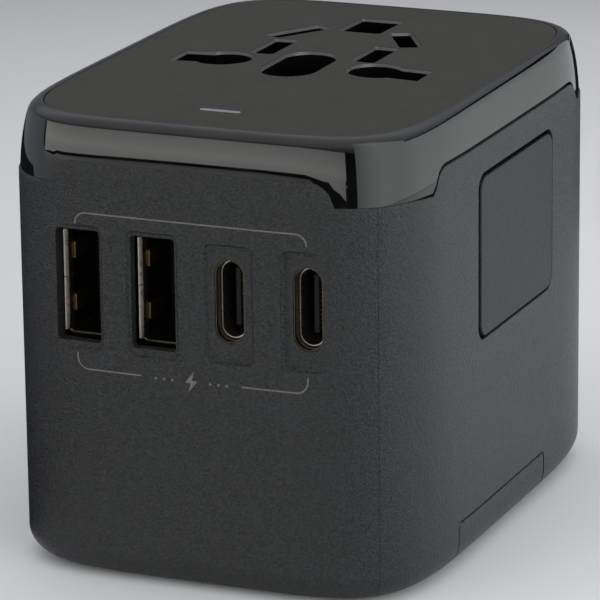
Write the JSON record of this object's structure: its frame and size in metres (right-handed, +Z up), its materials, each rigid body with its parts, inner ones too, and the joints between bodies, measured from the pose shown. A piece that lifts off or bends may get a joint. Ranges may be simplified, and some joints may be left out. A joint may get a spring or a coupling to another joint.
{
  "type": "universal travel adapter",
  "caption": "Pocket mains adapter: multi-standard socket on top, upright USB ports in front, side release button, and UK, EU and US/AU plugs that slide out of the base.",
  "frame": {"origin": "centre of the base, on the surface the adapter stands on", "axes": "+X to the right side with the release button, +Y to the back, +Z up; the USB ports face -Y"},
  "size_m": [0.051, 0.0684, 0.054],
  "materials": {
    "textured_black": "fine spark-eroded grain, dark grey-black",
    "gloss_black": "polished piano black",
    "matte_top": "very fine satin, warm dark grey",
    "inner_black": "plain moulded black",
    "inner_grey": "plain moulded grey",
    "steel": "stamped nickel-plated steel",
    "brass": "plain stamped brass",
    "nickel": "bright nickel plate",
    "board_green": "solder mask",
    "light_bar": "milky light guide",
    "ceramic": "glazed ceramic tube with metal ends",
    "tape_yellow": "polyester tape and epoxy",
    "sleeve_blue": "shrink sleeve"
  },
  "bodies": {
    "housing": {"front_fascia": "textured_black", "rear_shell": "textured_black", "base_plate": "textured_black", "gloss_bezel": "gloss_black", "socket_plate": "matte_top", "slider_track_plate": "inner_black", "usb_bracket": "inner_black", "contact_block": "inner_black", "inner_chassis": "inner_black", "usb_a_tongue_left": "inner_black", "usb_a_tongue_right": "inner_black", "usb_c_tongue_left": "inner_black", "usb_c_tongue_right": "inner_black", "base_screw_front_left": "steel", "base_screw_front_right": "steel", "base_screw_back_left": "steel", "base_screw_back_right": "steel", "usb_a_shell_left": "steel", "usb_a_shell_right": "steel", "usb_c_shell_left": "steel", "usb_c_shell_right": "steel", "shutter_spring_left": "steel", "shutter_spring_right": "steel", "button_spring_front": "steel", "button_spring_back": "steel", "neutral_contact": "brass", "live_contact": "brass", "earth_contact": "brass", "usb_board": "board_green", "mains_board": "board_green", "led_board": "board_green", "led_light_pipe": "light_bar", "led_chip": "light_bar", "transformer": "tape_yellow", "suppression_capacitor": "tape_yellow", "bulk_capacitor": "sleeve_blue", "output_capacitor": "sleeve_blue"},
    "button": {"release_button": "textured_black", "lock_bar": "inner_grey"},
    "shutter": {"safety_shutter": "inner_grey"},
    "fuse_tray": {"fuse_drawer": "textured_black", "mains_fuse": "ceramic"},
    "uk_plug": {"uk_carriage": "inner_black", "uk_lever": "inner_grey", "uk_neutral_pin": "brass", "uk_live_pin": "brass", "uk_earth_pin": "brass"},
    "eu_plug": {"eu_carriage": "inner_black", "eu_lever": "inner_grey", "eu_pin_left": "nickel", "eu_pin_right": "nickel"},
    "us_plug": {"us_carriage": "inner_black", "us_lever": "inner_grey"},
    "us_left_blade": {"us_rotor_left": "inner_black", "us_blade_left": "nickel"},
    "us_right_blade": {"us_rotor_right": "inner_black", "us_blade_right": "nickel"}
  },
  "joints": [
    {"name": "release_button_push", "type": "slide", "parent": "housing", "child": "button", "axis": [-1, 0, 0], "range_m": [0, 0.0015], "stiffness_N_per_m": 800, "springref_m": -0.001, "deforming": ["button_spring_front", "button_spring_back"]},
    {"name": "shutter_slide", "type": "slide", "parent": "housing", "child": "shutter", "axis": [0, -1, 0], "range_m": [0, 0.006], "stiffness_N_per_m": 60, "springref_m": -0.003, "deforming": ["shutter_spring_left", "shutter_spring_right"]},
    {"name": "fuse_drawer_slide", "type": "slide", "parent": "housing", "child": "fuse_tray", "axis": [1, 0, 0], "range_m": [0, 0.012]},
    {"name": "uk_plug_slide", "type": "slide", "parent": "housing", "child": "uk_plug", "axis": [0, 0, -1], "range_m": [0, 0.0225]},
    {"name": "eu_plug_slide", "type": "slide", "parent": "housing", "child": "eu_plug", "axis": [0, 0, -1], "range_m": [0, 0.019]},
    {"name": "us_plug_slide", "type": "slide", "parent": "housing", "child": "us_plug", "axis": [0, 0, -1], "range_m": [0, 0.0175]},
    {"name": "us_left_blade_turn", "type": "hinge", "parent": "us_plug", "child": "us_left_blade", "pos_m": [-0.00635, 0.022, 0.0198], "axis": [0, 0, -1], "range_deg": [0, 30]},
    {"name": "us_right_blade_turn", "type": "hinge", "parent": "us_plug", "child": "us_right_blade", "pos_m": [0.00635, 0.022, 0.0198], "axis": [0, 0, 1], "range_deg": [0, 30]}
  ]
}
